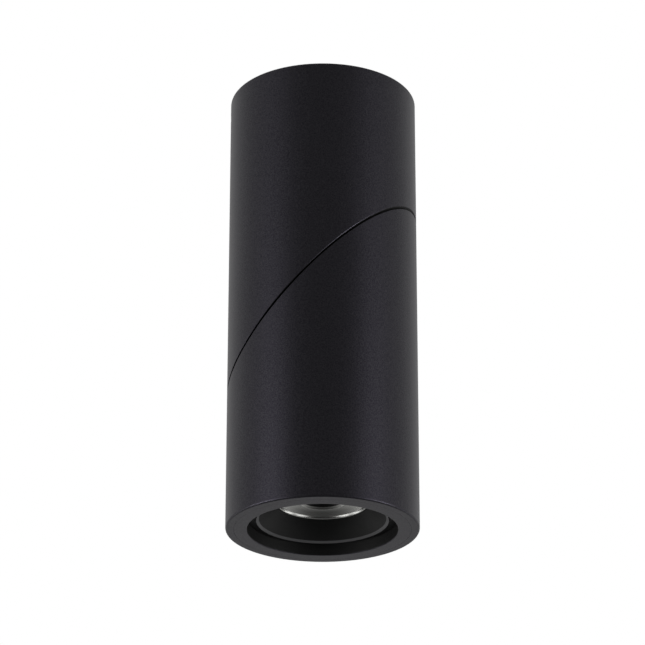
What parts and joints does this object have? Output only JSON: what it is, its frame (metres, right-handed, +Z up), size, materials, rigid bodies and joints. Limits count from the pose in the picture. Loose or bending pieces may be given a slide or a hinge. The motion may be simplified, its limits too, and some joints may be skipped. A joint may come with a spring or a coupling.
{
  "type": "cylinder spotlight",
  "caption": "Surface-mounted ceiling spotlight: a black cylinder cut at 45 degrees, whose lower head turns on the cut to aim a recessed lamp.",
  "frame": {"origin": "middle of the ceiling face, between the two fixing slots", "axes": "+Z up along the cylinder into the ceiling, +X towards the high side of the 45 degree cut, +Y along the line of the fixing slots"},
  "size_m": [0.07, 0.07, 0.1715],
  "materials": {
    "housing_black": "satin black powder coat with a fine grain",
    "baffle_black": "matt black anodised, bare on the turned step",
    "reflector_silver": "bright anodised, softly polished",
    "bare_aluminium": "as machined",
    "zinc_steel": "zinc plated",
    "black_steel": "blackened",
    "pivot_steel": "nickel plated",
    "brass": "bare",
    "tinned_brass": "tinned",
    "grommet_rubber": "matt",
    "driver_plastic": "fine texture",
    "terminal_plastic": "moulded polyamide",
    "live_sleeve": "silicone sleeve",
    "neutral_sleeve": "silicone sleeve",
    "earth_sleeve": "silicone sleeve",
    "lamp_lead_sleeve": "silicone sleeve",
    "bush_polymer": "turned acetal",
    "friction_fibre": "pressed fibre",
    "holder_plastic": "moulded",
    "thermal_grey": "soft pad",
    "board_white": "white coated board",
    "phosphor_yellow": "unlit phosphor"
  },
  "bodies": {
    "housing": {"ceiling_plate": "zinc_steel", "cable_grommet": "grommet_rubber", "upper_housing": "housing_black", "housing_grub_screws": "black_steel", "driver_bracket": "zinc_steel", "bracket_screws": "zinc_steel", "driver_case": "driver_plastic", "driver_lid": "driver_plastic", "driver_screws": "zinc_steel", "terminal_block": "terminal_plastic", "terminal_inserts": "brass", "terminal_screws": "zinc_steel", "terminal_fixing_screws": "zinc_steel", "earth_screw": "zinc_steel", "earth_eyelet": "tinned_brass", "earth_lead": "earth_sleeve", "live_lead": "live_sleeve", "neutral_lead": "neutral_sleeve", "lamp_lead_upper": "lamp_lead_sleeve", "pivot_bush": "bush_polymer"},
    "head": {"lamp_lead_lower": "lamp_lead_sleeve", "pivot_tube": "pivot_steel", "friction_disc": "friction_fibre", "thrust_washer": "pivot_steel", "disc_spring": "pivot_steel", "lock_washer": "pivot_steel", "pivot_nut_upper": "pivot_steel", "pivot_nut_lower": "pivot_steel", "stop_pin": "pivot_steel", "head_housing": "housing_black", "front_ring": "housing_black", "baffle": "baffle_black", "spacer_sleeve": "bare_aluminium", "reflector": "reflector_silver", "led_holder": "holder_plastic", "holder_screws": "zinc_steel", "thermal_pad": "thermal_grey", "led_board": "board_white", "led_emitter": "phosphor_yellow", "heat_sink": "bare_aluminium"}
  },
  "joints": [
    {"name": "head_turn", "type": "hinge", "parent": "housing", "child": "head", "pos_m": [0, 0, -0.08475], "axis": [-0.7071, 0, 0.7071], "range_deg": [-170, 170]}
  ]
}
